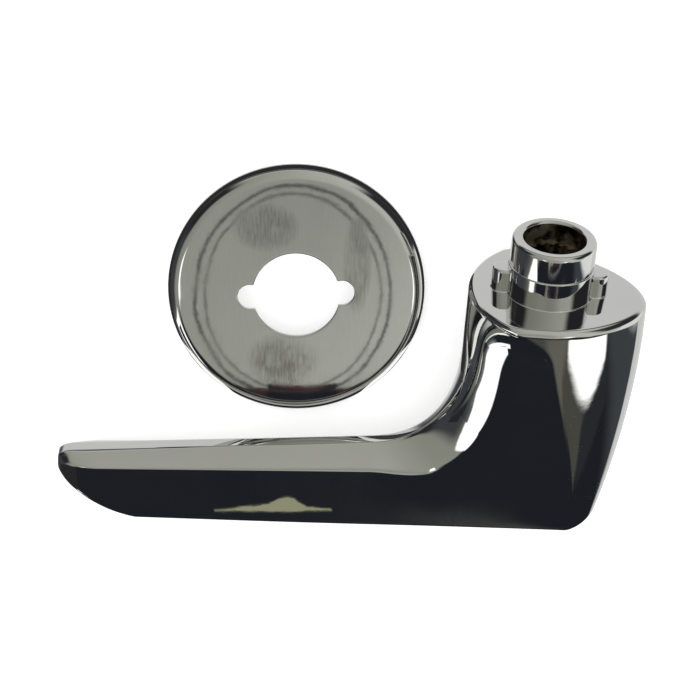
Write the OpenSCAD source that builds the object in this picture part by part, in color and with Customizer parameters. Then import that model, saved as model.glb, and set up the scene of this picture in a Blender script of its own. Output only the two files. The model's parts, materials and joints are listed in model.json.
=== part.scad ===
// Lever handle for a car's inside door, cast in one piece and plated, with its pressed escutcheon.
// Both lie on a table: the lever on its side, the escutcheon behind its blade with the dome upward.
// The lever is drawn in a frame of its own, with the origin at the middle of the hub's face,
// +Z along the boss and the blade toward -X, and is laid down at the end.

/* [Blade] */
// Reach of the blade from the boss axis to its tip
lever_reach = 98.6; // [88:0.5:112]
// Depth of the blade's back face below the hub's face, where the bend ends
back_depth = 39.3; // [34:0.1:43]
// Angle by which the back face leads away from the door
back_angle = 6.3; // [4:0.1:7]
// Angle by which the front face leads away from the door
front_angle = 2.9; // [1:0.1:4]
// Width of the blade across its two side faces
blade_w = 10.4; // [8:0.2:12]
// Width of the narrow flat along the back
back_flat_w = 3.2; // [2:0.2:5]
// Depth of the slanted face between the back flat and the side face, at the bend
slant_depth = 4.3; // [3:0.1:5.5]
// Depth of the slanted face at the tip
slant_tip_depth = 1.7; // [1:0.1:3]
// Radius of the edges along the back flat
back_edge_r = 0.5; // [0.2:0.1:0.8]
// Radius of the long edges between the side faces and the front face
front_edge_r = 1; // [0.5:0.1:1.6]
// Crown of the front face
front_crown = 0.35; // [0.1:0.05:0.6]
// Length of the slope that brings the front face up to the tip
tip_slope_l = 17; // [10:0.5:20]
// Height of the tip's end
tip_h = 2.6; // [2:0.2:4]
// Width of the tip's end
tip_w = 2.4; // [1.6:0.2:4]

/* [Hub] */
// Depth of the lever from the hub's face to the front face at the heel
lever_depth = 55.9; // [52:0.1:62]
// Width of the hub's face, across the blade's direction
hub_w = 34; // [30:0.5:38]
// Reach of the hub from the boss axis toward the blade
hub_front = 16.2; // [14:0.2:18]
// Reach of the hub from the boss axis away from the blade
hub_back = 20.2; // [18:0.2:22]
// Radius of the rim round the hub's face
hub_rim_r = 1.5; // [0.6:0.1:2]
// Width of the heel, where the hub runs out into the front face
heel_w = 12; // [11:0.5:15]
// Reach of the heel from the boss axis
heel_reach = 14.6; // [13:0.2:17]
// Radius of the corner between the hub's back and the front face
heel_r = 6.5; // [4:0.5:9]
// Radius that softens the crease between the side wall and the rounded heel
crease_r = 0.4; // [0.2:0.1:1.5]

/* [Boss] */
// Outside diameter of the boss
boss_d = 17.4; // [16:0.1:20]
// Height of the boss above the hub's face
boss_h = 12.3; // [10:0.1:16]
// Rounding of the boss's outer edge
boss_edge_r = 0.7; // [0.2:0.1:1.2]
// Diameter of the plain bore in the boss's mouth
bore_d = 12.6; // [11:0.1:13.2]
// Depth of the plain bore
bore_depth = 4.7; // [3:0.1:7]
// Diameter at the bottoms of the spline grooves
spline_root_d = 11.6; // [9.5:0.1:12.2]
// Depth of the spline grooves
spline_depth = 0.6; // [0.3:0.1:0.9]
// Number of spline grooves
spline_count = 18; // [12:1:24]
// Whole depth of the socket from the boss's mouth
socket_depth = 17; // [12:0.5:22]
// Radius of each half-round lug on the boss
lug_r = 2.3; // [1.6:0.1:3]
// Reach of each lug from the boss axis
lug_reach = 11.8; // [10:0.1:12.5]
// Height of the lugs above the hub's face
lug_h = 4.9; // [3:0.1:6]
// Rounding of the lugs' top edge
lug_edge_r = 0.5; // [0.2:0.1:0.8]

/* [Escutcheon] */
// Outside diameter of the escutcheon
plate_d = 53.6; // [48:0.2:60]
// Height of the escutcheon over its dome
plate_h = 6; // [4.5:0.1:8]
// Thickness of its sheet
plate_t = 0.8; // [0.6:0.1:1.2]
// Radius of the rolled rim, outside
plate_rim_r = 3; // [2:0.1:4]
// Height of the straight skirt below the rolled rim
plate_skirt_h = 1.2; // [0.6:0.1:1.4]
// Clearance of its hole and notches round the boss and the lugs
fit_gap = 0.35; // [0.2:0.05:0.6]

/* [Layout] */
// Slope of the boss axis when the lever lies on its side
lying_tilt = 12; // [8:0.1:16]
// Turn of the lever on the table, so that its blade lies along X
lying_turn = 4.1; // [0:0.1:8]
// Place of the escutcheon's middle, from the boss axis toward the blade's tip
plate_x = 51.5; // [45:0.5:60]
// Place of the escutcheon's middle, from the hub's face toward the blade
plate_y = 5.5; // [-5:0.5:8]
// Turn of the escutcheon on the table
plate_turn = 2.7; // [0:0.1:10]

/* [Hidden] */
$fn = 96;
over = 1;

// Where the blade ends and the bend begins, and where the bend ends at the hub
bend_x = -hub_front - 17.8;
bend_top = 13.5;
// Fullness of the bend's curve and of the tip's slope: 2 would be an ellipse
bend_fullness = 2.55;
tip_fullness = 1.25;
// The tip's corners: rounding along the back and in plan
tip_corner_l = 3;
tip_corner_h = 1.5;
tip_round_l = 9;
// The hub's back bulges a little, furthest out at this depth
bulge_depth = 8.5;
back_power = 1.9;
// Where the hub is widest, at its face and at the heel
widest_top = -2;
widest_heel = 6.4;
// Roundness of the hub's side in plan, and how far the back of the hub leans to the near side
round_power = 1.8;
hub_skew = 0.04;
// Share of the hub's narrowing that is straight, the rest being a curve
hub_taper = 0.42;
// The side walls open out from the blade toward the hub's face
wall_start = -30;
wall_l = 32;
wall_blend = 6;
wall_slope = 0.235;
wall_end_blend = 2;
// Close under the hub's face they open out more, so that the face stays round
wall_flare = 3;
wall_flare_depth = 8;
// Roundness of the hub's front in plan
hub_power = 2.15;
// How softly the side walls run into the slanted face
slant_blend = 0.5;
// Length over which the hub's front is rounded in plan, below and at its face, and the share of
// the bend over which the slanted face widens to it
front_round_l = 7.8;
front_round_top = 11.5;
front_round_share = 0.3;
// Most of a section that the slanted face and the front edge may each take up
slant_share = 0.6;
edge_share = 0.3;
// Least half width, so that no two points of a section fall together
least_w = 0.06;

// Stations along the lever, and points across each
tip_steps = 9;
blade_steps = 10;
bend_steps = 26;
hub_steps = 7;
rim_steps = 3;
slant_steps = 7;
wall_steps = 8;
round_steps = 8;
crease_tries = 14;
crown_steps = 3;

function clamp(v, low, high) = min(max(v, low), high);
function mix(a, b, t) = a + (b - a) * t;
function soft_step(t) = t * t * (3 - 2 * t);
function soft_ramp(v, r) = (v + sqrt(v * v + r * r)) / 2;
function soft_min(a, b, r) = min(a, b) - pow(max(r - abs(a - b), 0), 2) / (4 * r);
// Quarter of a superellipse: 1 at t = 0, down to 0 at t = 1
function bow(t, power) = pow(1 - pow(clamp(t, 0, 1), power), 1 / power);

// Depth of the blade's back face and front face, and reach of the hub's back
function back_at(x) = back_depth + tan(back_angle) * (bend_x - x)
    + tip_corner_h * (1 - bow((tip_corner_l - lever_reach - x) / tip_corner_l, 2));
function front_line(x) = lever_depth + tan(front_angle) * (heel_reach - heel_r - x);
function tip_rise() = front_line(-lever_reach) - back_at(-lever_reach) - tip_h;
function front_at(x) = front_line(x)
    - tip_rise() * (1 - bow((tip_slope_l - lever_reach - x) / tip_slope_l, tip_fullness));
function hub_back_at(d) = hub_back
    - (hub_back - heel_reach) * pow(abs(d - bulge_depth) / (lever_depth - bulge_depth), back_power);

// Depth of the slanted face, which runs out toward the tip
function slant_at(x) = mix(slant_tip_depth, slant_depth,
    clamp((x + lever_reach) / (lever_reach + bend_x), 0, 1));

// Half width of the blade, of the opening side walls and of the rounded hub at a depth
function blade_half(x) = mix(tip_w / 2, blade_w / 2,
    bow((tip_round_l - lever_reach - x) / tip_round_l, 2));
function wall_half(x, d) = blade_half(x)
    + wall_slope / wall_l * soft_ramp(lever_depth - d, wall_end_blend)
        * soft_ramp(x - wall_start, wall_blend)
    + wall_flare * pow(max(1 - d / wall_flare_depth, 0), 2);
function taper_share(d) = hub_taper * d / lever_depth + (1 - hub_taper) * pow(d / lever_depth, 2);
function hub_half(d) = mix(hub_w, heel_w, taper_share(d)) / 2;
function widest_at(d) = mix(widest_top, widest_heel, d / lever_depth);
function round_half(x, d) = hub_half(d)
    * bow((x - widest_at(d)) / (hub_back_at(d) - widest_at(d)), round_power);
function skew_at(x, d) = hub_skew * max(x - widest_at(d), 0) * max(1 - d / lever_depth, 0);
function body_half(x, d) = soft_min(wall_half(x, d), round_half(x, d), crease_r);

// The outer line of the bend: along the front, round the heel and up the hub's back
heel_centre = [heel_reach - heel_r, lever_depth - heel_r];
front_share = 0.4;
heel_share = 0.7;
function outer_bend(t) =
    t < front_share ? let (x = mix(bend_x, heel_centre[0], t / front_share)) [x, front_at(x)] :
    t < heel_share ? let (a = 90 * (t - front_share) / (heel_share - front_share))
        heel_centre + [(hub_back_at(heel_centre[1]) - heel_centre[0]) * sin(a), heel_r * cos(a)] :
    let (d = mix(heel_centre[1], bend_top, (t - heel_share) / (1 - heel_share))) [hub_back_at(d), d];
// The inner line of the bend: from the back face up to the hub's front
function inner_bend(t) = let (
        a = 90 * (1 - t),
        across = pow(cos(a), 2 / bend_fullness),
        down = pow(sin(a), 2 / bend_fullness),
        x = mix(bend_x, -hub_front, across))
    [x, bend_top + (back_depth - bend_top) * down - tan(back_angle) * (x - bend_x) * down];

// A station is its inner point, its outer point, how far it is from blade to hub, the front edge's
// radius there, how far the rim draws it in and how far from its inner point the wall begins
function blade_station(x) = [[x, back_at(x)], [x, front_at(x)], 0, front_edge_r, 0, slant_at(x)];
function bend_station(t) = [inner_bend(t), outer_bend(t), soft_step(t),
    front_edge_r * (1 - clamp((t - front_share) / (heel_share - front_share), 0, 1)), 0,
    mix(slant_depth, front_round_l, soft_step(min(t / front_round_share, 1)))];
function hub_station(d) = [[-hub_front, d], [hub_back_at(d), d], 1, 0,
    hub_rim_r - sqrt(pow(hub_rim_r, 2) - pow(max(hub_rim_r - d, 0), 2)),
    mix(front_round_l, front_round_top, pow(1 - d / bend_top, 2))];
stations = concat(
    [for (i = [0:tip_steps]) blade_station(-lever_reach + tip_slope_l * (1 - cos(90 * i / tip_steps)))],
    [for (i = [1:blade_steps]) blade_station(mix(tip_slope_l - lever_reach, bend_x, i / blade_steps))],
    [for (i = [1:bend_steps]) bend_station(i / bend_steps)],
    [for (i = [1:hub_steps]) hub_station(mix(bend_top, hub_rim_r, i / hub_steps))],
    [for (i = [1:rim_steps]) hub_station(hub_rim_r * (1 - sin(90 * i / rim_steps)))]);

// Share of the way across a station at which the side wall meets the rounded heel
function crease_share(st, low, high, tries) = let (
        middle = (low + high) / 2,
        p = mix(st[0], st[1], middle))
    tries == 0 ? middle :
    wall_half(p[0], p[1]) < round_half(p[0], p[1]) ? crease_share(st, middle, high, tries - 1) :
    crease_share(st, low, middle, tries - 1);
// Shares at which a station has its points: one lies on the slanted face's lower edge and one on
// the crease, and they are close on both sides of these
function shares(st) = let (
        long = norm(st[1] - st[0]),
        turn = crease_share(st, 0, 1 - min(st[3] / long, edge_share), crease_tries),
        slant = min(st[5] / long, turn * slant_share))
    concat([for (j = [0:slant_steps]) slant * (1 - cos(90 * j / slant_steps))],
        [for (j = [1:wall_steps]) slant + (turn - slant) * (1 - cos(180 * j / wall_steps)) / 2],
        [for (j = [1:round_steps]) turn + (1 - turn) * sin(90 * j / round_steps)]);
// Half width at a share s of the way from a station's inner point to its outer point
function station_half(st, s) = let (
        long = norm(st[1] - st[0]),
        way = s * long,
        p = mix(st[0], st[1], s),
        full = body_half(p[0], p[1]),
        flat = min(back_flat_w / 2, blade_half(p[0])),
        reach = min(st[5], long * slant_share),
        slanted = flat + (full - flat) * way / reach
            - back_edge_r * (1 - bow(1 - way / back_edge_r, 2)),
        rounded = full * bow(1 - way / reach, hub_power),
        half = mix(soft_min(full, slanted, slant_blend), rounded, st[2]),
        edge = min(st[3], long * edge_share),
        cut = edge > 0 ? edge * (1 - bow(1 - (1 - s) * long / edge, 2)) : 0)
    max(half - min(cut, half * slant_share), least_w);
// Points of one side of a station, as x, half width and depth
function side_points(st) = let (middle = widest_at(st[0][1]), wide = (st[1][0] - st[0][0]) / 2)
    [for (s = shares(st)) let (
        p = mix(st[0], st[1], s),
        draw = 1 - st[4] / max(wide, hub_rim_r))
        [mix(middle, p[0], draw), station_half(st, s) * draw, p[1]]];
// Closed ring of a station: near side outward, over the crown of the front, far side back
function ring(st) = let (
        side = side_points(st),
        top = len(side) - 1,
        last = side[top],
        skews = [for (p = side) skew_at(p[0], p[2])],
        out = (st[1] - st[0]) / norm(st[1] - st[0]),
        crown = front_crown * min(1, last[1] * 2 / blade_w) * (st[3] / front_edge_r))
    concat(
        [for (j = [0:top]) [side[j][0], -side[j][1] - skews[j], -side[j][2]]],
        [for (k = [1:crown_steps]) let (v = 2 * k / (crown_steps + 1) - 1, lift = crown * (1 - v * v))
            [last[0] + out[0] * lift, last[1] * v - skews[top], -last[2] - out[1] * lift]],
        [for (j = [top:-1:0]) [side[j][0], side[j][1] - skews[j], -side[j][2]]]);

module lever_body() {
    rings = [for (st = stations) ring(st)];
    count = len(rings);
    size = len(rings[0]);
    walls = [for (i = [0:count - 2], j = [0:size - 1], half = [0, 1]) let (
        k = (j + 1) % size, a = i * size, b = (i + 1) * size)
        half == 0 ? [a + j, b + j, b + k] : [a + j, b + k, a + k]];
    ends = [[for (j = [0:size - 1]) j], [for (j = [size - 1:-1:0]) (count - 1) * size + j]];
    polyhedron(points = [for (r = rings, p = r) p], faces = concat(walls, ends), convexity = 6);
}

// The boss with its rounded mouth
module boss() {
    rotate_extrude()
        union() {
            translate([0, -over]) square([boss_d / 2, boss_h + over - boss_edge_r]);
            translate([0, boss_h - boss_edge_r]) square([boss_d / 2 - boss_edge_r, boss_edge_r]);
            translate([boss_d / 2 - boss_edge_r, boss_h - boss_edge_r]) circle(boss_edge_r, $fn = 48);
        }
}

// One half-round lug, which stands on the hub's face against the boss
module lug() {
    lug_x = lug_reach - lug_r;
    translate([lug_x, 0, -over])
        rotate_extrude()
            union() {
                square([lug_r, lug_h + over - lug_edge_r]);
                square([lug_r - lug_edge_r, lug_h + over]);
                translate([lug_r - lug_edge_r, lug_h + over - lug_edge_r]) circle(lug_edge_r, $fn = 32);
            }
    translate([boss_d / 4, -lug_r, -over])
        cube([lug_x - boss_d / 4, 2 * lug_r, lug_h + over - lug_edge_r]);
}

// The socket: a plain bore in the mouth, then a bore with straight grooves
module socket() {
    groove_w = PI * spline_root_d / spline_count / 2;
    translate([0, 0, boss_h - bore_depth])
        cylinder(d = bore_d, h = bore_depth + over);
    translate([0, 0, boss_h - socket_depth]) {
        cylinder(d = spline_root_d - 2 * spline_depth, h = socket_depth);
        linear_extrude(socket_depth - bore_depth / 2)
            for (i = [0:spline_count - 1])
                rotate(360 * i / spline_count)
                    translate([0, -groove_w / 2])
                        square([spline_root_d / 2, groove_w]);
    }
}

// Height of the hub's face middle above the table: the hub's side, which is curved, bears on it
lying_h = max([for (d = [hub_rim_r:0.5:lever_depth], x = [-hub_front / 2:heel_reach])
    (body_half(x, d) + skew_at(x, d)) * cos(lying_tilt) + d * sin(lying_tilt)]);

// Reach of the whole set along X and Y, from the middle of the hub's face
low_x = -lever_reach * cos(lying_turn) - back_at(-lever_reach) * cos(lying_tilt) * sin(lying_turn);
high_x = hub_back_at(0) * cos(lying_turn);
low_y = -(lever_depth + front_crown) * cos(lying_tilt) - heel_centre[0] * sin(lying_turn)
    - (heel_w / 2 - front_edge_r) * sin(lying_tilt);
high_y = plate_d / 2 - plate_y;
// The set's middle is brought over the origin
module centred() {
    translate([-(low_x + high_x) / 2, -(low_y + high_y) / 2, 0]) children();
}
module laid_down() {
    centred()
        translate([0, 0, lying_h])
            rotate([0, 0, -lying_turn])
                rotate([lying_tilt - 90, 0, 0])
                    children();
}

module lever_handle() {
    color([0.78, 0.78, 0.77])
        laid_down()
            difference() {
                union() {
                    lever_body();
                    boss();
                    for (side = [0, 180]) rotate(side) lug();
                }
                socket();
            }
}

// Half of the dome's outline, drawn in by inset: the dome runs into the rolled rim without a break
rim_x = plate_d / 2 - plate_rim_r;
rim_rise = plate_h - plate_skirt_h;
dome_r = (rim_x * rim_x + rim_rise * rim_rise - plate_rim_r * plate_rim_r) / (2 * (rim_rise - plate_rim_r));
module plate_outline(inset, foot) {
    intersection() {
        union() {
            intersection() {
                translate([0, plate_h - dome_r]) circle(dome_r - inset, $fn = 360);
                translate([0, foot]) square([rim_x * dome_r / (dome_r - plate_rim_r), plate_h - foot]);
            }
            translate([rim_x, plate_skirt_h]) circle(plate_rim_r - inset);
            translate([0, foot]) square([plate_d / 2 - inset, plate_skirt_h - foot]);
        }
        translate([0, foot]) square([plate_d, plate_h - foot]);
    }
}

module escutcheon() {
    color([0.72, 0.72, 0.7])
        centred()
            translate([-plate_x, -plate_y, 0])
                rotate(plate_turn)
                    difference() {
                        rotate_extrude($fn = 180)
                            difference() {
                                plate_outline(0, 0);
                                plate_outline(plate_t, -over);
                            }
                        translate([0, 0, -over])
                            cylinder(d = boss_d + 2 * fit_gap, h = plate_h + 2 * over);
                        for (side = [-1, 1])
                            translate([side * (lug_reach - lug_r), 0, -over])
                                cylinder(r = lug_r + fit_gap, h = plate_h + 2 * over);
                    }
}

lever_handle();
escutcheon();
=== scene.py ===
import json
import math
from collections import namedtuple
import bpy
from mathutils import Matrix, Vector


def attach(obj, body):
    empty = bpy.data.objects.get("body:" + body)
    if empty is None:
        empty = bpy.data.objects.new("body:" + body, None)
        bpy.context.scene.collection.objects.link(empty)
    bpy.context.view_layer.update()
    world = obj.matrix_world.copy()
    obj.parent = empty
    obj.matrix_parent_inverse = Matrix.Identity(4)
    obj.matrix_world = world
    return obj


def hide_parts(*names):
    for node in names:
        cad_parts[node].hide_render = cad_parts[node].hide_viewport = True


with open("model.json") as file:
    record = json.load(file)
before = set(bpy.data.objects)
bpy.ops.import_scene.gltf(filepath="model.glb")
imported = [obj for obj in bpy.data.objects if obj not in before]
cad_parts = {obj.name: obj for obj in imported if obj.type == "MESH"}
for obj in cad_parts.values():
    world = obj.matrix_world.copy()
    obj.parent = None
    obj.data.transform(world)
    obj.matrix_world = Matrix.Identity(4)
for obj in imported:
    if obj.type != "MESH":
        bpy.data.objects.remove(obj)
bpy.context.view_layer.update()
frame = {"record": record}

scene = bpy.context.scene
scene.view_settings.view_transform = "Standard"
mounts = {mount["name"]: mount for mount in frame["record"]["mounts"]}
millimetre = 0.001
sharpAngle = 38  # degrees between two faces, above which their edge is drawn sharp


# Small helpers for curves and places

def clamp(value, low, high):
    return min(max(value, low), high)


def mix(start, end, share):
    return start + (end - start) * share


def mixPoint(start, end, share):
    return tuple(mix(a, b, share) for a, b in zip(start, end))


def softStep(share):
    return share * share * (3 - 2 * share)


def softRamp(value, radius):
    return (value + math.sqrt(value * value + radius * radius)) / 2


def softMin(a, b, radius):
    return min(a, b) - max(radius - abs(a - b), 0) ** 2 / (4 * radius)


def bow(share, power):
    return (1 - clamp(share, 0, 1) ** power) ** (1 / power)  # 1 at share 0, down to 0 at share 1


def spread(count, first=1):
    return [index / count for index in range(first, count + 1)]


def polar(radius, turn, z):
    return radius * math.cos(turn), radius * math.sin(turn), z


def fullTurns(count):
    return [2 * math.pi * index / count for index in range(count)]


def aimAt(azimuth, elevation):
    across, up = math.radians(azimuth), math.radians(elevation)
    return Vector((math.sin(across) * math.cos(up), -math.cos(across) * math.cos(up), math.sin(up)))


def placeFrom(middle, *axes):
    return Matrix.Translation(middle) @ Matrix(axes).transposed().to_4x4()


# Lever: a frame of its own, with the origin at the middle of the hub's face, +Z along the boss
# and the blade toward -X. Depth counts down from the hub's face, so the back of the blade is the
# side toward the door and its front is the side toward the hand

lever = {
    # blade and its tip; angles in degrees
    "reach": 98.6, "backDepth": 39.3, "backAngle": 6.3, "frontAngle": 2.9,
    "bladeWidth": 10.4, "backFlat": 3.2, "slantDepth": 4.3, "slantTipDepth": 1.7,
    "backEdge": 0.5, "slantBlend": 0.5,
    "frontRound": 7.8, "frontRoundTop": 11.5, "frontRoundShare": 0.3,
    "frontEdge": 1.0, "frontCrown": 0.35,
    "tipSlope": 17.0, "tipHeight": 2.6, "tipWidth": 2.4, "tipFullness": 1.25,
    "tipCornerLength": 3.0, "tipCornerHeight": 1.5, "tipRound": 9.0,
    # hub, heel and the bend between hub and blade
    "depth": 55.9, "hubWidth": 34.0, "hubFront": 16.2, "hubBack": 20.2, "hubPower": 2.15,
    "rim": 1.5, "heelWidth": 12.0, "heelReach": 14.6, "heelRadius": 6.5, "crease": 0.22,
    "bendLength": 17.8, "bendTop": 13.5, "bendFullness": 2.55,
    "bulgeDepth": 8.5, "backPower": 1.9, "widestTop": -2.0, "widestHeel": 6.4,
    "roundPower": 1.8, "skew": 0.04, "taper": 0.42,
    # how the blade's walls open toward the hub
    "wallStart": -30.0, "wallLength": 32.0, "wallBlend": 6.0, "wallSlope": 0.235,
    "wallEndBlend": 2.0, "wallFlare": 3.0, "wallFlareDepth": 8.0,
    # shares of the bend at which its front and its heel end, then the most of a station that the
    # slant and the front edge may take
    "frontShare": 0.4, "heelShare": 0.7, "slantShare": 0.6, "edgeShare": 0.3, "leastWidth": 0.02,
    # steps along the lever, then round it
    "tipSteps": 52, "bladeSteps": 64, "bendSteps": 180, "hubSteps": 38, "rimSteps": 8,
    "slantSteps": 34, "wallSteps": 46, "roundSteps": 40, "crownSteps": 9, "halvings": 22,
}
bendStart = -lever["hubFront"] - lever["bendLength"]
backSlope = math.tan(math.radians(lever["backAngle"]))
frontSlope = math.tan(math.radians(lever["frontAngle"]))
heelCentre = (lever["heelReach"] - lever["heelRadius"], lever["depth"] - lever["heelRadius"])


# Depth of the blade's back and of its front
def backAt(x):
    corner = (lever["tipCornerLength"] - lever["reach"] - x) / lever["tipCornerLength"]
    return (lever["backDepth"] + backSlope * (bendStart - x)
            + lever["tipCornerHeight"] * (1 - bow(corner, 2)))


def frontLine(x):
    return lever["depth"] + frontSlope * (heelCentre[0] - x)


tipRise = frontLine(-lever["reach"]) - backAt(-lever["reach"]) - lever["tipHeight"]


def frontAt(x):
    share = (lever["tipSlope"] - lever["reach"] - x) / lever["tipSlope"]
    return frontLine(x) - tipRise * (1 - bow(share, lever["tipFullness"]))


# How far the hub reaches away from the blade
def hubBackAt(depth):
    share = abs(depth - lever["bulgeDepth"]) / (lever["depth"] - lever["bulgeDepth"])
    return lever["hubBack"] - (lever["hubBack"] - lever["heelReach"]) * share ** lever["backPower"]


def slantAt(x):
    share = clamp((x + lever["reach"]) / (lever["reach"] + bendStart), 0, 1)
    return mix(lever["slantTipDepth"], lever["slantDepth"], share)


# Half widths of the blade, of its walls as they open toward the hub, and of the hub's round side
def bladeHalf(x):
    share = (lever["tipRound"] - lever["reach"] - x) / lever["tipRound"]
    return mix(lever["tipWidth"], lever["bladeWidth"], bow(share, 2)) / 2


def wallHalf(x, depth):
    opening = (lever["wallSlope"] / lever["wallLength"]
               * softRamp(lever["depth"] - depth, lever["wallEndBlend"])
               * softRamp(x - lever["wallStart"], lever["wallBlend"]))
    flare = lever["wallFlare"] * max(1 - depth / lever["wallFlareDepth"], 0) ** 2
    return bladeHalf(x) + opening + flare


def hubHalf(depth):
    share = depth / lever["depth"]
    narrowing = lever["taper"] * share + (1 - lever["taper"]) * share * share
    return mix(lever["hubWidth"], lever["heelWidth"], narrowing) / 2


def widestAt(depth):
    return mix(lever["widestTop"], lever["widestHeel"], depth / lever["depth"])


def roundHalf(x, depth):
    widest = widestAt(depth)
    return hubHalf(depth) * bow((x - widest) / (hubBackAt(depth) - widest), lever["roundPower"])


def skewAt(x, depth):
    return lever["skew"] * max(x - widestAt(depth), 0) * max(1 - depth / lever["depth"], 0)


# Walls and round side together, with the crease between them
def bodyHalf(x, depth):
    return softMin(wallHalf(x, depth), roundHalf(x, depth), lever["crease"])


# The bend's outer side runs along the front, round the heel and up the hub
def outerBend(share):
    heelDepth = heelCentre[1]
    if share < lever["frontShare"]:
        x = mix(bendStart, heelCentre[0], share / lever["frontShare"])
        return x, frontAt(x)
    if share < lever["heelShare"]:
        turn = math.pi / 2 * (share - lever["frontShare"]) / (lever["heelShare"] - lever["frontShare"])
        return (heelCentre[0] + (hubBackAt(heelDepth) - heelCentre[0]) * math.sin(turn),
                heelDepth + lever["heelRadius"] * math.cos(turn))
    depth = mix(heelDepth, lever["bendTop"], (share - lever["heelShare"]) / (1 - lever["heelShare"]))
    return hubBackAt(depth), depth


def innerBend(share):
    turn = math.pi / 2 * (1 - share)
    across = max(math.cos(turn), 0) ** (2 / lever["bendFullness"])
    down = max(math.sin(turn), 0) ** (2 / lever["bendFullness"])
    x = mix(bendStart, -lever["hubFront"], across)
    drop = lever["backDepth"] - lever["bendTop"] - backSlope * (x - bendStart)
    return x, lever["bendTop"] + drop * down


# A station runs across the lever, from a point on its inner side to one on its outer side. hubness
# goes from 0 in the blade to 1 in the hub, edge is the front edge's radius, drawn is how far the
# rim draws the station in, and reach is how far from the inner point its wall begins
Station = namedtuple("Station", "inner outer hubness edge drawn reach")


def bladeStation(x):
    return Station((x, backAt(x)), (x, frontAt(x)), 0, lever["frontEdge"], 0, slantAt(x))


def bendStation(share):
    turned = clamp((share - lever["frontShare"]) / (lever["heelShare"] - lever["frontShare"]), 0, 1)
    rounding = softStep(min(share / lever["frontRoundShare"], 1))
    reach = mix(lever["slantDepth"], lever["frontRound"], rounding)
    edge = lever["frontEdge"] * (1 - turned)
    return Station(innerBend(share), outerBend(share), softStep(share), edge, 0, reach)


def hubStation(depth):
    rim = lever["rim"]
    drawn = rim - math.sqrt(rim * rim - max(rim - depth, 0) ** 2)
    reach = mix(lever["frontRound"], lever["frontRoundTop"], (1 - depth / lever["bendTop"]) ** 2)
    return Station((-lever["hubFront"], depth), (hubBackAt(depth), depth), 1, 0, drawn, reach)


def leverStations():
    slopeEnd = lever["tipSlope"] - lever["reach"]
    tip = [bladeStation(-lever["reach"] + lever["tipSlope"] * (1 - math.cos(math.pi / 2 * s)))
           for s in spread(lever["tipSteps"], 0)]
    blade = [bladeStation(mix(slopeEnd, bendStart, s)) for s in spread(lever["bladeSteps"])]
    bend = [bendStation(s) for s in spread(lever["bendSteps"])]
    hub = [hubStation(mix(lever["bendTop"], lever["rim"], s)) for s in spread(lever["hubSteps"])]
    rim = [hubStation(lever["rim"] * (1 - math.sin(math.pi / 2 * s)))
           for s in spread(lever["rimSteps"])]
    return tip + blade + bend + hub + rim


# Where along a station the walls meet the hub's round, found by halving
def creaseShare(inner, outer, high):
    low = 0
    for halving in range(lever["halvings"]):
        middle = (low + high) / 2
        x, depth = mixPoint(inner, outer, middle)
        if wallHalf(x, depth) < roundHalf(x, depth):
            low = middle
        else:
            high = middle
    return middle


def stationHalf(station, share):
    long = math.dist(station.inner, station.outer)
    way = share * long
    x, depth = mixPoint(station.inner, station.outer, share)
    full = bodyHalf(x, depth)
    flat = min(lever["backFlat"] / 2, bladeHalf(x))
    reach = min(station.reach, long * lever["slantShare"])
    slanted = (flat + (full - flat) * way / reach
               - lever["backEdge"] * (1 - bow(1 - way / lever["backEdge"], 2)))
    rounded = full * bow(1 - way / reach, lever["hubPower"])
    half = mix(softMin(full, slanted, lever["slantBlend"]), rounded, station.hubness)
    edge = min(station.edge, long * lever["edgeShare"])
    cut = edge * (1 - bow(1 - (1 - share) * long / edge, 2)) if edge > 0 else 0
    return max(half - min(cut, half * lever["slantShare"]), lever["leastWidth"])


def easeBoth(start, end, steps):
    return [mix(start, end, (1 - math.cos(math.pi * s)) / 2) for s in spread(steps)]


def leverRing(station):
    inner, outer = station.inner, station.outer
    long = math.dist(inner, outer)
    turn = creaseShare(inner, outer, 1 - min(station.edge / long, lever["edgeShare"]))
    slant = min(station.reach / long, turn * lever["slantShare"])
    shares = [slant * (1 - math.cos(math.pi / 2 * s)) for s in spread(lever["slantSteps"], 0)]
    shares += easeBoth(slant, turn, lever["wallSteps"])
    shares += [turn + (1 - turn) * math.sin(math.pi / 2 * s) for s in spread(lever["roundSteps"])]
    middle = widestAt(inner[1])
    draw = 1 - station.drawn / max((outer[0] - inner[0]) / 2, lever["rim"])
    side = []
    for share in shares:
        x, depth = mixPoint(inner, outer, share)
        x = mix(middle, x, draw)
        side.append((x, stationHalf(station, share) * draw, depth, skewAt(x, depth)))
    x, half, depth, skew = side[-1]
    outX, outDepth = (outer[0] - inner[0]) / long, (outer[1] - inner[1]) / long
    crown = (lever["frontCrown"] * min(1, half * 2 / lever["bladeWidth"])
             * station.edge / lever["frontEdge"])
    over = []
    for step in range(1, lever["crownSteps"] + 1):
        across = 2 * step / (lever["crownSteps"] + 1) - 1
        lift = crown * (1 - across * across)
        over.append((x + outX * lift, half * across - skew, -depth - outDepth * lift))
    near = [(x, -half - skew, -depth) for x, half, depth, skew in side]
    far = [(x, half - skew, -depth) for x, half, depth, skew in reversed(side)]
    return near + over + far


# Boss, with its splined socket and its two lugs, on the hub's axis

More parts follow.
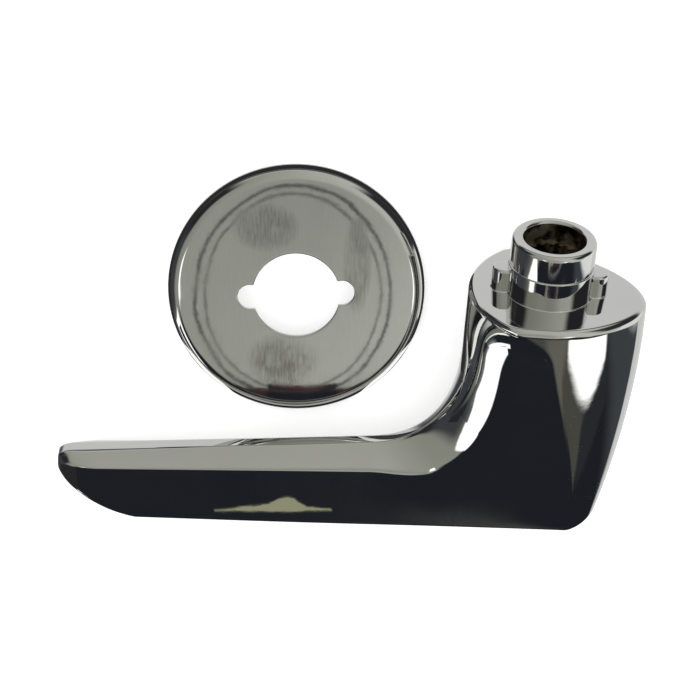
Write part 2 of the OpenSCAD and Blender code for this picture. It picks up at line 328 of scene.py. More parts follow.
boss = {
    "radius": 8.62, "height": 12.3, "edge": 1.0, "mouthEdge": 0.6, "foot": 0.25,
    "baseRadius": 8.85, "baseHeight": 6.4, "baseEdge": 0.3,
    "bore": 6.3, "boreDepth": 4.7, "root": 5.8, "spline": 0.6, "grooves": 18, "socketDepth": 17.0,
    "segments": 288, "edgeSteps": 7,
    "lugRadius": 2.3, "lugReach": 11.8, "lugHeight": 4.9, "lugEdge": 0.5, "lugFoot": 0.3,
    "lugRoot": 0.8,  # share of the boss's radius at which a lug ends inside it
    "lugSegments": 48, "lugFootSteps": 4, "lugEdgeSteps": 6,
}


def arcPoints(centre, radius, start, end, steps):
    turns = [math.radians(mix(start, end, s)) for s in spread(steps, 0)]
    return [(centre[0] + radius * math.cos(t), centre[1] + radius * math.sin(t)) for t in turns]


# The boss stands on a slightly wider base, whose shoulder is rounded
def bossProfile():
    outside, top, edge = boss["radius"], boss["height"], boss["edge"]
    base, shoulder = boss["baseRadius"], boss["baseEdge"]
    mouth, steps = boss["mouthEdge"], boss["edgeSteps"]
    profile = arcPoints((base + boss["foot"], boss["foot"]), boss["foot"], 270, 180, steps)
    stepTurn = math.degrees(math.acos((shoulder - base + outside) / shoulder))
    profile += arcPoints((base - shoulder, boss["baseHeight"] - shoulder), shoulder, 0, stepTurn, steps)
    profile += arcPoints((outside - edge, top - edge), edge, 0, 90, steps)
    profile += arcPoints((boss["bore"] + mouth, top - mouth), mouth, 90, 180, steps)
    return profile


def bossRings():
    top, profile = boss["height"], bossProfile()
    profile.append((boss["bore"], top - boss["boreDepth"]))
    count = boss["segments"]
    turns = fullTurns(count)
    rings = [[polar(r, t, z) for t in turns] for r, z in profile]
    perGroove = count // boss["grooves"]
    radii = [boss["root"] if (index + perGroove // 4) % perGroove < perGroove // 2
             else boss["root"] - boss["spline"] for index in range(count)]
    for z in (top - boss["boreDepth"], top - boss["socketDepth"]):
        rings.append([polar(r, t, z) for r, t in zip(radii, turns)])
    return rings


def lugRings(sign):
    foot, edge, height = boss["lugFoot"], boss["lugEdge"], boss["lugHeight"]
    profile = arcPoints((foot, foot), foot, 270, 180, boss["lugFootSteps"])
    profile += arcPoints((-edge, height - edge), edge, 0, 90, boss["lugEdgeSteps"])
    centre = boss["lugReach"] - boss["lugRadius"]
    inside = boss["radius"] * boss["lugRoot"]
    turns = [math.radians(mix(-90, 90, s)) for s in spread(boss["lugSegments"], 0)]
    rings = []
    for grow, z in profile:
        radius = boss["lugRadius"] + grow
        outline = [(centre + radius * math.cos(t), radius * math.sin(t)) for t in turns]
        outline += [(inside, radius), (inside, -radius)]
        rings.append([(sign * x, sign * y, z) for x, y in outline])
    return rings


# A mesh put together from rings of points in millimetres
class MeshParts:
    def __init__(self):
        self.points, self.faces = [], []
        self.inside = range(0)  # faces that take the second material

    def addRings(self, rings, closeFirst=False, closeLast=False):
        count = len(rings[0])
        starts = []
        for ring in rings:
            starts.append(len(self.points))
            self.points.extend(ring)
        for a, b in zip(starts, starts[1:]):
            for index in range(count):
                after = (index + 1) % count
                self.faces.append((a + index, a + after, b + after, b + index))
        if closeFirst:
            self.faces.append([starts[0] + index for index in reversed(range(count))])
        if closeLast:
            self.faces.append([starts[-1] + index for index in range(count)])
        return starts

    # Joins two flat rings of different counts around the same middle with triangles
    def joinRings(self, outerStart, outerCount, innerStart, innerCount):
        def turnOf(index):
            return math.atan2(self.points[index][1], self.points[index][0])

        def nextTurn(ring, step):
            past = 2 * math.pi if step + 1 >= len(ring) else 0
            return turnOf(ring[(step + 1) % len(ring)]) + past

        outerRing = sorted(range(outerStart, outerStart + outerCount), key=turnOf)
        innerRing = sorted(range(innerStart, innerStart + innerCount), key=turnOf)
        o = i = 0
        while o < outerCount or i < innerCount:
            outerNow, innerNow = outerRing[o % outerCount], innerRing[i % innerCount]
            outerFirst = nextTurn(outerRing, o) <= nextTurn(innerRing, i)
            if i >= innerCount or (o < outerCount and outerFirst):
                self.faces.append((innerNow, outerNow, outerRing[(o + 1) % outerCount]))
                o += 1
            else:
                self.faces.append((innerNow, outerNow, innerRing[(i + 1) % innerCount]))
                i += 1

    def build(self, name, place):
        mesh = bpy.data.meshes.new(name)
        mesh.from_pydata([place @ (Vector(p) * millimetre) for p in self.points], [], self.faces)
        mesh.validate()
        for polygon in mesh.polygons:
            polygon.use_smooth = True
            polygon.material_index = 1 if polygon.index in self.inside else 0
        mesh.update()
        mesh.set_sharp_from_angle(angle=math.radians(sharpAngle))
        made = bpy.data.objects.new(name, mesh)
        scene.collection.objects.link(made)
        return made


# The boss's axis and the middle of the hub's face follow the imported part
bossAxis = Vector(mounts["socket_bore"]["axis"]).normalized()
borePlace = Vector(mounts["socket_bore"]["pos_m"])
faceMiddle = borePlace - bossAxis * (boss["height"] - boss["boreDepth"] / 2) * millimetre
turnOnTable = math.atan2(bossAxis.x, bossAxis.y)
alongBlade = Vector((math.cos(turnOnTable), -math.sin(turnOnTable), 0))
acrossBlade = bossAxis.cross(alongBlade)
leverPlace = placeFrom(faceMiddle, alongBlade, acrossBlade, bossAxis)

# The body's last ring is joined to the boss's foot; the bore and the socket take the second material
handleParts = MeshParts()
stationRings = [leverRing(station) for station in leverStations()]
bodyStarts = handleParts.addRings(stationRings, closeFirst=True)
outerFaces = len(handleParts.faces) + boss["segments"] * (len(bossProfile()) - 1)
bossStarts = handleParts.addRings(bossRings(), closeLast=True)
handleParts.inside = range(outerFaces, len(handleParts.faces))
handleParts.joinRings(bodyStarts[-1], len(stationRings[-1]), bossStarts[0], boss["segments"])
for sign in (1, -1):
    handleParts.addRings(lugRings(sign), closeFirst=True, closeLast=True)
handle = handleParts.build("leverHandle", leverPlace)
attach(handle, "root")
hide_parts("lever_handle")
print("lever handle:", len(handle.data.polygons), "faces")


# Escutcheon: a domed sheet with a rolled rim and a keyed hole, drawn about its own middle

escutcheon = {
    "radius": 26.8, "height": 6.0, "sheet": 0.8, "rim": 3.0, "skirt": 1.2,
    "hole": 9.05, "notch": 2.65, "notchAt": 9.5, "turn": 2.7, "holeEdge": 0.25,
    "skirtShares": (0.66, 0.33, 0.06), "skirtBevel": 0.08,
    "segments": 360, "domeSteps": 40, "rimSteps": 18, "edgeSteps": 4,
}


def holeReach(turn):
    reach = escutcheon["hole"]
    for sign in (1, -1):
        along = sign * escutcheon["notchAt"] * math.cos(turn)
        across = escutcheon["notchAt"] * math.sin(turn)
        if along > 0 and abs(across) < escutcheon["notch"]:
            reach = max(reach, along + math.sqrt(escutcheon["notch"] ** 2 - across ** 2))
    return reach


# One side of the sheet: its dome's radius and middle, where the dome meets the rim, and the rim
def sheetProfile(inset):
    rimMiddle = escutcheon["radius"] - escutcheon["rim"]
    rise = escutcheon["height"] - escutcheon["skirt"]
    domeRadius = ((rimMiddle ** 2 + rise ** 2 - escutcheon["rim"] ** 2)
                  / (2 * (rise - escutcheon["rim"])))
    domeMiddle = escutcheon["height"] - domeRadius
    joint = math.atan2(escutcheon["skirt"] - domeMiddle, rimMiddle)
    rim = arcPoints((rimMiddle, escutcheon["skirt"]), escutcheon["rim"] - inset,
                    math.degrees(joint), 0, escutcheon["rimSteps"])
    foot = [(escutcheon["radius"] - inset, escutcheon["skirt"] * s) for s in escutcheon["skirtShares"]]
    jointX = (domeRadius - inset) * math.cos(joint)
    return domeRadius - inset, domeMiddle, jointX, rim[1:] + foot


# From the hole's lower edge up and over the top, round the foot and back along the underside
def escutcheonRings():
    turns = fullTurns(escutcheon["segments"])
    holeEdge, sheet = escutcheon["holeEdge"], escutcheon["sheet"]
    sides = []
    for inset in (0, sheet):
        domeRadius, domeMiddle, jointX, rim = sheetProfile(inset)
        side = []
        for share in spread(escutcheon["domeSteps"], 0):
            radii = [mix(holeReach(t) + holeEdge, jointX, share) for t in turns]
            side.append([polar(r, t, domeMiddle + math.sqrt(domeRadius ** 2 - r * r))
                         for r, t in zip(radii, turns)])
        side += [[polar(r, t, z) for t in turns] for r, z in rim]
        sides.append(side)
    upper, lower = sides
    rings = [[polar(holeReach(t), t, low[2]) for t, low in zip(turns, lower[0])]]
    for out, up in arcPoints((0, 0), 1, 180, 90, escutcheon["edgeSteps"])[:-1]:
        rings.append([polar(holeReach(t) + holeEdge * (1 + out), t, top[2] - holeEdge * (1 - up))
                      for t, top in zip(turns, upper[0])])
    outside, bevel = escutcheon["radius"], escutcheon["skirtBevel"]
    foot = [[polar(r, t, 0) for t in turns] for r in (outside - bevel, outside - sheet + bevel)]
    return rings + upper + foot + lower[::-1]


holeMiddle = Vector(mounts["boss_hole"]["pos_m"])
platePlace = (Matrix.Translation((holeMiddle.x, holeMiddle.y, 0))
              @ Matrix.Rotation(math.radians(escutcheon["turn"]), 4, "Z"))
plateParts = MeshParts()
plateRings = escutcheonRings()
plateParts.addRings([ring[::-1] for ring in plateRings + plateRings[:1]])
plate = plateParts.build("escutcheonPlate", platePlace)
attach(plate, "root")
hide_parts("escutcheon")
print("escutcheon:", len(plate.data.polygons), "faces")


# Node helpers

def newMaterial(name):
    material = bpy.data.materials.new(name)
    material.use_nodes = True
    material.node_tree.nodes.clear()
    return material, material.node_tree


def addNode(tree, kind, **settings):
    node = tree.nodes.new(kind)
    for key, value in settings.items():
        setattr(node, key, value)
    return node


def fill(tree, socket, value):
    if isinstance(value, tuple):
        socket.default_value = (*value, 1)
    elif isinstance(value, (int, float)):
        socket.default_value = value
    else:
        tree.links.new(value, socket)


def mathNode(tree, operation, *values):
    node = addNode(tree, "ShaderNodeMath", operation=operation)
    for index, value in enumerate(values):
        fill(tree, node.inputs[index], value)
    return node.outputs[0]


def mixNode(tree, factor, first, second):
    node = addNode(tree, "ShaderNodeMix", data_type="RGBA")
    for name, value in (("Factor", factor), ("A", first), ("B", second)):
        fill(tree, next(s for s in node.inputs if s.name == name and s.enabled), value)
    return next(s for s in node.outputs if s.enabled)


def rangeNode(tree, value, low, high, start=0, end=1):
    node = addNode(tree, "ShaderNodeMapRange", interpolation_type="SMOOTHSTEP")
    for name, setting in (("Value", value), ("From Min", low), ("From Max", high),
                          ("To Min", start), ("To Max", end)):
        fill(tree, node.inputs[name], setting)
    return node.outputs["Result"]


def dotNode(tree, vector, direction):
    node = addNode(tree, "ShaderNodeVectorMath", operation="DOT_PRODUCT")
    tree.links.new(vector, node.inputs[0])
    node.inputs[1].default_value = direction
    return node.outputs["Value"]


def noiseNode(tree, where, scale, detail=2, roughness=0.5):
    node = addNode(tree, "ShaderNodeTexNoise")
    tree.links.new(where, node.inputs["Vector"])
    for name, value in (("Scale", scale), ("Detail", detail), ("Roughness", roughness)):
        node.inputs[name].default_value = value
    return node.outputs[0]


def scaledPlace(tree, where, scales, middle=(0, 0, 0)):
    moved = addNode(tree, "ShaderNodeVectorMath", operation="SUBTRACT")
    tree.links.new(where, moved.inputs[0])
    moved.inputs[1].default_value = middle
    scaled = addNode(tree, "ShaderNodeVectorMath", operation="MULTIPLY")
    tree.links.new(moved.outputs[0], scaled.inputs[0])
    scaled.inputs[1].default_value = scales
    return scaled.outputs[0]


# Effects that both chromes share

def newGroup(name, inputs, outputs):
    group = bpy.data.node_groups.new(name, "ShaderNodeTree")
    for socketName, kind in inputs:
        group.interface.new_socket(name=socketName, in_out="INPUT", socket_type=kind)
    for socketName, kind in outputs:
        group.interface.new_socket(name=socketName, in_out="OUTPUT", socket_type=kind)
    return group, addNode(group, "NodeGroupInput"), addNode(group, "NodeGroupOutput")


def useGroup(tree, group, **values):
    node = addNode(tree, "ShaderNodeGroup", node_tree=group)
    for name, value in values.items():
        fill(tree, node.inputs[name], value)
    return node


# Ranges give the noise's value where an effect begins and where it is full. Depths are in metres
plating = {
    "peelScale": 380, "peelDepth": 0.000007, "waveScale": 70, "waveDepth": 0.00007,
    "pitScale": 2600, "pitSize": 0.13, "driftScale": 190, "driftRange": (0.52, 0.72),
    "hazeScale": 95, "hazeRange": (0.45, 0.75),
}


# Peel: the faint waviness that polished and plated metal keeps, as a height
def peelGroup():
    group, inside, outside = newGroup(
        "platingPeel", [("Where", "NodeSocketVector")], [("Height", "NodeSocketFloat")])
    where = inside.outputs["Where"]
    fine = noiseNode(group, where, plating["peelScale"])
    fine = mathNode(group, "MULTIPLY", fine, plating["peelDepth"])
    broad = noiseNode(group, where, plating["waveScale"], detail=1)
    broad = mathNode(group, "MULTIPLY", broad, plating["waveDepth"])
    group.links.new(mathNode(group, "ADD", fine, broad), outside.inputs["Height"])
    return group


# Pits: pinpoint flaws in the plating, in drifts
def pitGroup():
    group, inside, outside = newGroup(
        "platingPits", [("Where", "NodeSocketVector"), ("Amount", "NodeSocketFloat")],
        [("Mask", "NodeSocketFloat")])
    where = inside.outputs["Where"]
    cells = addNode(group, "ShaderNodeTexVoronoi")
    group.links.new(where, cells.inputs["Vector"])
    cells.inputs["Scale"].default_value = plating["pitScale"]
    dots = rangeNode(group, cells.outputs["Distance"], plating["pitSize"] / 2, plating["pitSize"], 1, 0)
    drift = rangeNode(group, noiseNode(group, where, plating["driftScale"]), *plating["driftRange"])
    some = mathNode(group, "MULTIPLY", dots, drift)
    group.links.new(mathNode(group, "MULTIPLY", some, inside.outputs["Amount"]), outside.inputs["Mask"])
    return group


# Haze: finger marks and old polish, which blur the mirror a little
def hazeGroup():
    group, inside, outside = newGroup(
        "platingHaze", [("Where", "NodeSocketVector"), ("Clean", "NodeSocketFloat"),
                        ("Hazy", "NodeSocketFloat")], [("Roughness", "NodeSocketFloat")])
    cloud = noiseNode(group, inside.outputs["Where"], plating["hazeScale"], detail=4, roughness=0.6)
    blur = rangeNode(group, cloud, *plating["hazeRange"], inside.outputs["Clean"], inside.outputs["Hazy"])
    group.links.new(blur, outside.inputs["Roughness"])
    return group


peel, pits, haze = peelGroup(), pitGroup(), hazeGroup()


def metalShader(tree, colour, roughness, height, relief=1.0):
    metal = addNode(tree, "ShaderNodeBsdfPrincipled")
    metal.inputs["Metallic"].default_value = 1
    fill(tree, metal.inputs["Base Color"], colour)
    fill(tree, metal.inputs["Roughness"], roughness)
    bump = addNode(tree, "ShaderNodeBump")
    bump.inputs["Strength"].default_value = relief
    bump.inputs["Distance"].default_value = 1
    fill(tree, bump.inputs["Height"], height)
    tree.links.new(bump.outputs["Normal"], metal.inputs["Normal"])
    out = addNode(tree, "ShaderNodeOutputMaterial")
    tree.links.new(metal.outputs[0], out.inputs[0])


# Lever chrome: bright and slightly warm, with peel, and with pits that gather on the outer side of
# the hub, away from the blade

leverLook = {
    "bright": (0.66, 0.66, 0.645), "dull": (0.6, 0.6, 0.58), "dullScale": 60,
    "clean": 0.022, "hazy": 0.06, "pit": (0.9, 0.92, 0.95), "pitRoughness": 0.5,
    # distances outward from the boss's axis between which pits grow from few to many
    "pitFrom": 2, "pitTo": 12, "fewPits": 0.25,
}


def leverChrome():
    material, tree = newMaterial("leverChrome")
    where = addNode(tree, "ShaderNodeTexCoord").outputs["Object"]
    fromAxis = scaledPlace(tree, where, (1, 1, 1), tuple(faceMiddle))
    amount = rangeNode(tree, dotNode(tree, fromAxis, tuple(alongBlade)),
                       leverLook["pitFrom"] * millimetre, leverLook["pitTo"] * millimetre,
                       leverLook["fewPits"], 1)
    marks = useGroup(tree, pits, Where=where, Amount=amount).outputs["Mask"]
    cloud = noiseNode(tree, where, leverLook["dullScale"], detail=3)
    base = mixNode(tree, cloud, leverLook["bright"], leverLook["dull"])
    colour = mixNode(tree, marks, base, leverLook["pit"])
    smooth = useGroup(tree, haze, Where=where, Clean=leverLook["clean"], Hazy=leverLook["hazy"])
    roughness = mathNode(tree, "MAXIMUM", smooth.outputs["Roughness"],
                         mathNode(tree, "MULTIPLY", marks, leverLook["pitRoughness"]))
    height = useGroup(tree, peel, Where=where).outputs["Height"]
    metalShader(tree, colour, roughness, height)
    return material


# Socket: zinc left bare by the core pin; the bore and splines are coloured dark, with smears of a lighter
# zinc tone

socketLook = {
    "darkTone": (0.1, 0.08, 0.055), "zinc": (0.5, 0.45, 0.35), "roughness": (0.2, 0.42),
    "grainScale": 900, "grainDepth": 0.0001, "smearScale": 260, "smearRange": (0.38, 0.62),
}


def socketMetal():
    material, tree = newMaterial("socketZinc")
    where = addNode(tree, "ShaderNodeTexCoord").outputs["Object"]
    smear = rangeNode(tree, noiseNode(tree, where, socketLook["smearScale"], detail=3),
                      *socketLook["smearRange"])
    colour = mixNode(tree, smear, socketLook["darkTone"], socketLook["zinc"])
    grain = noiseNode(tree, where, socketLook["grainScale"], detail=4)
    height = mathNode(tree, "MULTIPLY", grain, socketLook["grainDepth"])
    metalShader(tree, colour, rangeNode(tree, smear, 0, 1, *socketLook["roughness"]), height)
    return material


# Escutcheon chrome: faintly brushed, with duller patches where it was rubbed

plateLook = {
    "bright": (0.64, 0.64, 0.625), "dull": (0.33, 0.33, 0.315), "brushed": 0.2, "relief": 0.6,
    "clean": 0.02, "hazy": 0.045, "pits": 0.3, "pitRoughness": 0.4,
    # where it was rubbed hardest: middle from the hole, and the half sizes
    "rubs": [(-6.2, 14.6, 7, 5), (-2.8, -14.4, 7.5, 6), (12.6, 6.5, 3, 10.5)], "grazed": 0.12,
    "streakScale": 2600, "streakLength": 9, "patchScale": 130,
    # ranges: value from and to, and the strengths that these give
    "rubRange": (0.5, 1.25, 1, 0), "streakRange": (0.3, 0.7, 0.5, 1), "patchRange": (0.3, 0.6, 0.45, 1),
}


def plateChrome():
    material, tree = newMaterial("plateChrome")
    where = addNode(tree, "ShaderNodeTexCoord").outputs["Object"]
    worn = plateLook["grazed"]
    for x, y, halfWidth, halfHeight in plateLook["rubs"]:
        scales = (1 / (halfWidth * millimetre), 1 / (halfHeight * millimetre), 0)
        middle = (holeMiddle.x + x * millimetre, holeMiddle.y + y * millimetre, 0)
        reach = addNode(tree, "ShaderNodeVectorMath", operation="LENGTH")
        tree.links.new(scaledPlace(tree, where, scales, middle), reach.inputs[0])
        patch = rangeNode(tree, reach.outputs["Value"], *plateLook["rubRange"])
        worn = mathNode(tree, "MAXIMUM", worn, patch)
    stretched = scaledPlace(tree, where, (1, 1 / plateLook["streakLength"], 1))
    streaks = noiseNode(tree, stretched, plateLook["streakScale"], detail=3)
    streaks = rangeNode(tree, streaks, *plateLook["streakRange"])
    patches = noiseNode(tree, where, plateLook["patchScale"], detail=3)
    patches = rangeNode(tree, patches, *plateLook["patchRange"])
    rubbed = mathNode(tree, "MULTIPLY", mathNode(tree, "MULTIPLY", worn, patches), streaks)
    colour = mixNode(tree, rubbed, plateLook["bright"], plateLook["dull"])
    smooth = useGroup(tree, haze, Where=where, Clean=plateLook["clean"], Hazy=plateLook["hazy"])
    marks = useGroup(tree, pits, Where=where, Amount=plateLook["pits"]).outputs["Mask"]
    blurred = mathNode(tree, "ADD", smooth.outputs["Roughness"],
                       mathNode(tree, "MULTIPLY", rubbed, plateLook["brushed"]))
    roughness = mathNode(tree, "MAXIMUM", blurred,
                         mathNode(tree, "MULTIPLY", marks, plateLook["pitRoughness"]))
    height = useGroup(tree, peel, Where=where).outputs["Height"]
    metalShader(tree, colour, roughness, height, plateLook["relief"])
    return material


for made in (leverChrome(), socketMetal()):
    handle.data.materials.append(made)
plate.data.materials.append(plateChrome())
print("materials made")


# Floor: lit white, with a faint shadow. The chrome mirrors the studio's own ground instead

floorLook = {"reach": 3, "paint": (1, 1, 1), "glow": 0.45}  # reach in metres


def flatPiece(name, points, faces):
    mesh = bpy.data.meshes.new(name)
    mesh.from_pydata(points, [], faces)
    made = bpy.data.objects.new(name, mesh)
    scene.collection.objects.link(made)
    return made


squareCorners = ((-1, -1), (1, -1), (1, 1), (-1, 1))
floorCorners = [(x * floorLook["reach"], y * floorLook["reach"], 0) for x, y in squareCorners]
floor = flatPiece("floor", floorCorners, [(0, 1, 2, 3)])
floor.visible_glossy = False
floorMaterial, floorTree = newMaterial("whiteFloor")
floorPaint = addNode(floorTree, "ShaderNodeBsdfDiffuse")
floorPaint.inputs["Color"].default_value = (*floorLook["paint"], 1)
floorGlow = addNode(floorTree, "ShaderNodeEmission")
floorGlow.inputs["Strength"].default_value = floorLook["glow"]
floorBoth = addNode(floorTree, "ShaderNodeAddShader")
floorOut = addNode(floorTree, "ShaderNodeOutputMaterial")
for source, target in ((floorPaint, floorBoth.inputs[0]), (floorGlow, floorBoth.inputs[1]),
                       (floorBoth, floorOut.inputs[0])):
    floorTree.links.new(source.outputs[0], target)
floor.data.materials.append(floorMaterial)


# Glowing sheets lie and stand round the escutcheon, a painted shadow and painted reflections. They are
# seen only in the chrome, as are the cards below

def glowMaterial(name, colour, behind=None):
    material, tree = newMaterial(name)
    glow = addNode(tree, "ShaderNodeEmission")
    out = addNode(tree, "ShaderNodeOutputMaterial")
    if behind:
        back = addNode(tree, "ShaderNodeNewGeometry").outputs["Backfacing"]
        fill(tree, glow.inputs["Color"], mixNode(tree, back, colour, behind))
    else:
        fill(tree, glow.inputs["Color"], colour)
    tree.links.new(glow.outputs[0], out.inputs[0])
    return material


def mirroredOnly(piece, material):
    piece.data.materials.append(material)
    for ray in ("visible_camera", "visible_diffuse", "visible_shadow", "visible_transmission"):
        setattr(piece, ray, False)


glowSheets = {
    "lift": 0.05, "steps": 80, "inside": 27.0, "least": 0.02,
    "sheets": [
        # name, start and end angle, share that tapers at each end, colour, colour behind,
        # and the radius and height of each edge
        # the dark sheet is a painted shadow: the escutcheon's contact shadow on the floor, as its rim
        # mirrors it
        ("shadowSheet", -52, 232, 0.1, (0.035, 0.035, 0.035), (0.06, 0.06, 0.06), (27.0, 0), (34.0, 0)),
        # the two white sheets glow brighter than paper and paint the light crescents that the rim
        # mirrors; their backs are painted gray and dark for what the lever mirrors
        ("leftGlowSheet", 200, 248, 0.35, (1.5, 1.5, 1.5), (0.45, 0.45, 0.44), (28.4, 0.9), (28.4, 3.9)),
        ("rightGlowSheet", 292, 340, 0.35, (1.5, 1.5, 1.5), (0.06, 0.06, 0.06), (28.4, 0.9), (28.4, 3.9)),
    ],
}
for name, start, end, taper, colour, behind, *edges in glowSheets["sheets"]:
    points = []
    for share in spread(glowSheets["steps"], 0):
        t = math.radians(mix(start, end, share))
        size = mix(glowSheets["least"], 1, softStep(clamp(min(share, 1 - share) / taper, 0, 1)))
        for r, z in edges:
            out = mix(glowSheets["inside"], r, size) * millimetre
            points.append((holeMiddle.x + out * math.cos(t), holeMiddle.y + out * math.sin(t),
                           (z * size + glowSheets["lift"]) * millimetre))
    count = len(edges)
    faces = [(count * i + k, count * i + k + 1, count * (i + 1) + k + 1, count * (i + 1) + k)
             for i in range(glowSheets["steps"]) for k in range(count - 1)]
    mirroredOnly(flatPiece(name, points, faces), glowMaterial(name, colour, behind))
print("floor and papers made")


# Camera, placed from the boss: the photograph looks down on it at this angle

view = {
    "distance": 609.3, "elevation": 31.95, "sensor": 36, "nearest": 10,
    # in pixels: focal length, width of the frame and where the hub's face has its middle
    "focal": 3000, "frame": 680, "middle": (548.6, 289.7),
    "pixel": 0.2031,  # millimetres at the hub's face
}
tiltOnTable = math.asin(bossAxis.z)
lean = math.radians(view["elevation"]) - tiltOnTable
toCamera = Vector((0, math.sin(lean), math.cos(lean)))
rightward = Vector((1, 0, 0))
upward = toCamera.cross(rightward)
half = view["frame"] / 2
offset = (rightward * (half - view["middle"][0]) + upward * (view["middle"][1] - half)) * view["pixel"]
cameraData = bpy.data.cameras.new("camera")
cameraData.sensor_width = view["sensor"]
cameraData.lens = view["focal"] / view["frame"] * cameraData.sensor_width
cameraData.clip_start = view["nearest"] * millimetre
camera = bpy.data.objects.new("camera", cameraData)
cameraPoint = faceMiddle + (offset + toCamera * view["distance"]) * millimetre
camera.matrix_world = placeFrom(cameraPoint, rightward, upward, toCamera)
scene.collection.objects.link(camera)
scene.camera = camera
print("camera placed")


# The low wedge of warm light in the blade's near wall is the mirror image of a small card

wedge = {
    "at": -55.5, "away": 30, "foot": 0.1,
    "outline": [(-10.8, 0.15), (-6, 0.5), (-2, 0.95), (1.2, 1.5), (3.4, 2.5), (5.2, 2.85), (6.8, 2.6),
                (8.2, 1.7), (9.6, 0.95), (12, 0.55), (15.2, 0.15)],
    # how far each layer is widened, how far it stands behind the first, and its colour
    "layers": [(0, 0, (0.4, 0.4, 0.27)), (0.18, 0.1, (0.2, 0.2, 0.135)),
               (0.4, 0.2, (0.07, 0.07, 0.055))],
}
wallNormal = -acrossBlade
bounce = 2 * wallNormal * wallNormal.dot(toCamera) - toCamera
mirrored = [v - 2 * wallNormal * wallNormal.dot(v) for v in (rightward, upward)]
wallPoint = leverPlace @ (Vector((wedge["at"], -lever["bladeWidth"] / 2,
                                  lever["frontEdge"] - frontAt(wedge["at"]))) * millimetre)
for layer, (wider, behind, colour) in enumerate(wedge["layers"]):
    cardMiddle = wallPoint + bounce * (wedge["away"] + behind) * millimetre
    corners = [(x, y + wider) for x, y in wedge["outline"]]
    corners += [(x, wedge["foot"] - wider) for x, y in reversed(wedge["outline"])]
    outline = [cardMiddle + (mirrored[0] * x + mirrored[1] * y) * millimetre for x, y in corners]
    wedgeCard = flatPiece("wedgeCard%d" % layer, outline, [tuple(range(len(outline)))])
    mirroredOnly(wedgeCard, glowMaterial(wedgeCard.name, colour))

# A dark flag keeps the left light off the tip
flag = {"azimuth": -48, "elevation": 19, "away": 26, "half": 12, "colour": (0.03, 0.03, 0.035)}
flagAim = aimAt(flag["azimuth"], flag["elevation"])
flagSide = flagAim.cross(Vector((0, 0, 1))).normalized()
flagTop = flagSide.cross(flagAim)
tipDepth = backAt(-lever["reach"]) + lever["tipHeight"]
tipPoint = leverPlace @ (Vector((-lever["reach"], 0, -tipDepth)) * millimetre)
flagMiddle = tipPoint + flagAim * flag["away"] * millimetre
flagCorners = [flagMiddle + (flagSide * x + flagTop * y) * flag["half"] * millimetre
               for x, y in squareCorners]
tipFlag = flatPiece("tipFlag", flagCorners, [(0, 1, 2, 3)])
mirroredOnly(tipFlag, glowMaterial("tipFlag", flag["colour"]))
print("cards and flag made")


# Studio: what the chrome mirrors. Cards are seen from the middle of the set: azimuth from the
# front toward +X, elevation and half sizes in degrees, turn from level

studio = {
    "white": (1, 1, 1), "sky": (0.52, 0.525, 0.475), "skyRight": (0.36, 0.36, 0.36),
    "zenith": (0.4, 0.405, 0.37), "zenithFrom": 58, "zenithTo": 88,
    "ground": (0.78, 0.78, 0.78), "seam": 0.05,  # radians over which the ground becomes sky
    "horizon": (0.05, 0.05, 0.055), "horizonAt": -12, "horizonHalf": 14,
}
studioCards = [
    # azimuth, elevation, half width, half height, turn, softness, colour
    # dark sides
    (-88, -18, 32, 42, 0, 9, (0.06, 0.065, 0.075)),
    (-122, 6, 20, 22, 0, 8, (0.03, 0.03, 0.035)),
    (114, 6, 24, 26, 0, 8, (0.035, 0.035, 0.04)),
    # white and dim cards low on the right
    (74, -13, 18.5, 22, 0, 2.5, (1.0, 1.0, 0.99)),
    (45, -2, 12.5, 32, 0, 1.5, (0.065, 0.072, 0.08)),
    # the dark front, then what the escutcheon's front rim shows above it
    (0, 8, 48, 44, 0, 4, (0.018, 0.02, 0.027)),
    (0, 54.2, 5.2, 0.6, 0, 0.3, (0.03, 0.026, 0.032)),
    (0, 52.6, 10.5, 1.1, 0, 0.5, (0.05, 0.033, 0.034)),
    (-2.6, 54.4, 2, 0.2, 0, 0.3, (0.14, 0.06, 0.052)),
    (3.3, 54.2, 1.6, 0.2, 0, 0.3, (0.12, 0.05, 0.045)),
    (-7.5, 53.2, 2.4, 0.25, 0, 0.3, (0.1, 0.046, 0.042)),
    (8, 53, 2.6, 0.25, 0, 0.3, (0.1, 0.046, 0.042)),
    (0, 52.4, 5.5, 1.2, 0, 0.6, (0.018, 0.019, 0.028)),
    # the white streak in the bend, and the dark cards that trim it
    (-41.9, 14.7, 16.7, 18.3, 0, 1.2, (1.8, 1.8, 1.8)),
    (-23.6, 29.9, 11.5, 20, 36, 1.5, (0.018, 0.02, 0.027)),
    (-26.6, 13.5, 3.4, 8.5, 0, 0.8, (0.018, 0.02, 0.027)),
    # bands down the hub
    (15, 31, 11, 8, -10, 6, (0.17, 0.17, 0.145)),
    (36.9, 19.1, 15.5, 5, -45, 1.2, (1.8, 1.8, 1.8)),
    (24.3, 18.8, 11, 5.2, -59, 1.8, (0.09, 0.09, 0.076)),
    (38.6, 5.7, 9.5, 4.5, -25, 1.2, (0.03, 0.033, 0.04)),
    # small whites high on both sides
    (-60, 59, 6.5, 3.5, 0, 1, (1.8, 1.8, 1.8)),
    (57, 57, 6.5, 3.5, 0, 1, (1.8, 1.8, 1.8)),
]
studioRings = [
    # thin dark rings overhead, which the escutcheon's dome mirrors:
    # azimuth, elevation, half width, half height, half thickness in degrees, strength
    (-4, 71, 15.7, 18.6, 0.5, 0.85),
    (-4, 71, 14.1, 17.2, 0.4, 0.65),
]


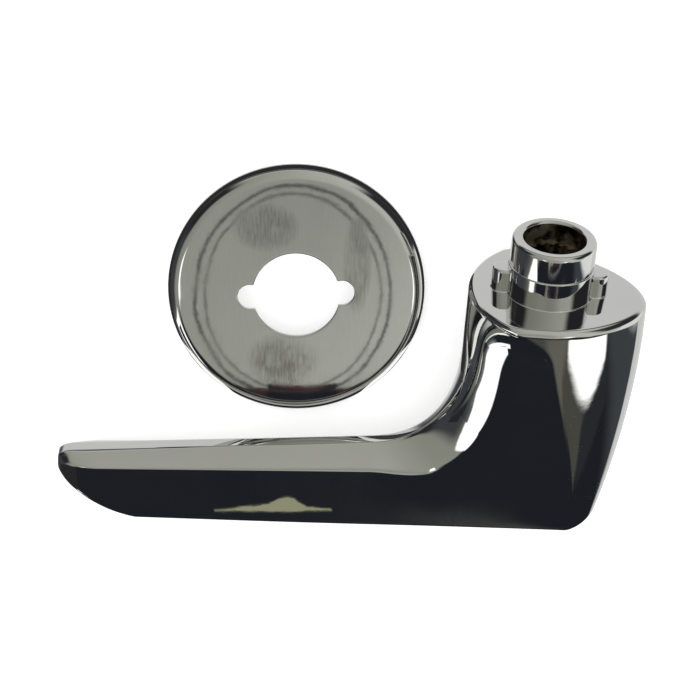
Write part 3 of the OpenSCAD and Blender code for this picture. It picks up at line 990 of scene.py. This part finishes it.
def cardAxes(tree, gaze, azimuth, elevation, turn):
    aim = aimAt(azimuth, elevation)
    across, roll = math.radians(azimuth), math.radians(turn)
    level = Vector((math.cos(across), math.sin(across), 0))
    rising = aim.cross(level)
    side = level * math.cos(roll) + rising * math.sin(roll)
    top = rising * math.cos(roll) - level * math.sin(roll)
    ahead = dotNode(tree, gaze, aim)
    return (mathNode(tree, "ARCTAN2", dotNode(tree, gaze, side), ahead),
            mathNode(tree, "ARCSINE", dotNode(tree, gaze, top)))


def cardMask(tree, gaze, azimuth, elevation, halfWidth, halfHeight, turn, soft):
    axes = cardAxes(tree, gaze, azimuth, elevation, turn)
    masks = [rangeNode(tree, mathNode(tree, "ABSOLUTE", axis),
                       math.radians(half - soft), math.radians(half + soft), 1, 0)
             for axis, half in zip(axes, (halfWidth, halfHeight))]
    return mathNode(tree, "MULTIPLY", *masks)


def ringMask(tree, gaze, azimuth, elevation, halfWidth, halfHeight, thick):
    axes = cardAxes(tree, gaze, azimuth, elevation, 0)
    squares = [mathNode(tree, "POWER", mathNode(tree, "DIVIDE", axis, math.radians(half)), 2)
               for axis, half in zip(axes, (halfWidth, halfHeight))]
    off = mathNode(tree, "SUBTRACT", mathNode(tree, "SQRT", mathNode(tree, "ADD", *squares)), 1)
    return rangeNode(tree, mathNode(tree, "ABSOLUTE", off), 0, thick / halfWidth, 1, 0)


world = bpy.data.worlds.new("studio")
scene.world = world
world.use_nodes = True
worldTree = world.node_tree
worldTree.nodes.clear()
gaze = addNode(worldTree, "ShaderNodeTexCoord").outputs["Generated"]
rightShare = dotNode(worldTree, gaze, (1, 0, 0))
height = mathNode(worldTree, "ARCSINE", dotNode(worldTree, gaze, (0, 0, 1)))
skyLeft = tuple(c - r / 2 for c, r in zip(studio["sky"], studio["skyRight"]))
skyRight = tuple(c + r / 2 for c, r in zip(studio["sky"], studio["skyRight"]))
seen = mixNode(worldTree, rangeNode(worldTree, rightShare, -1, 1), skyLeft, skyRight)
zenithShare = rangeNode(worldTree, height, math.radians(studio["zenithFrom"]),
                        math.radians(studio["zenithTo"]))
seen = mixNode(worldTree, zenithShare, seen, studio["zenith"])
groundShare = rangeNode(worldTree, height, -studio["seam"], studio["seam"], 1, 0)
seen = mixNode(worldTree, groundShare, seen, studio["ground"])
offHorizon = mathNode(worldTree, "ABSOLUTE",
                      mathNode(worldTree, "SUBTRACT", height, math.radians(studio["horizonAt"])))
horizonShare = rangeNode(worldTree, offHorizon, 0, math.radians(studio["horizonHalf"]), 1, 0)
seen = mixNode(worldTree, horizonShare, seen, studio["horizon"])
for *place, strength in studioRings:
    line = mathNode(worldTree, "MULTIPLY", ringMask(worldTree, gaze, *place), strength)
    seen = mixNode(worldTree, line, seen, studio["horizon"])
for *place, colour in studioCards:
    seen = mixNode(worldTree, cardMask(worldTree, gaze, *place), seen, colour)
worldPath = addNode(worldTree, "ShaderNodeLightPath")
seen = mixNode(worldTree, worldPath.outputs["Is Glossy Ray"], studio["white"], seen)
sky = addNode(worldTree, "ShaderNodeBackground")
worldOut = addNode(worldTree, "ShaderNodeOutputWorld")
worldTree.links.new(seen, sky.inputs["Color"])
worldTree.links.new(sky.outputs[0], worldOut.inputs["Surface"])
print("studio made")
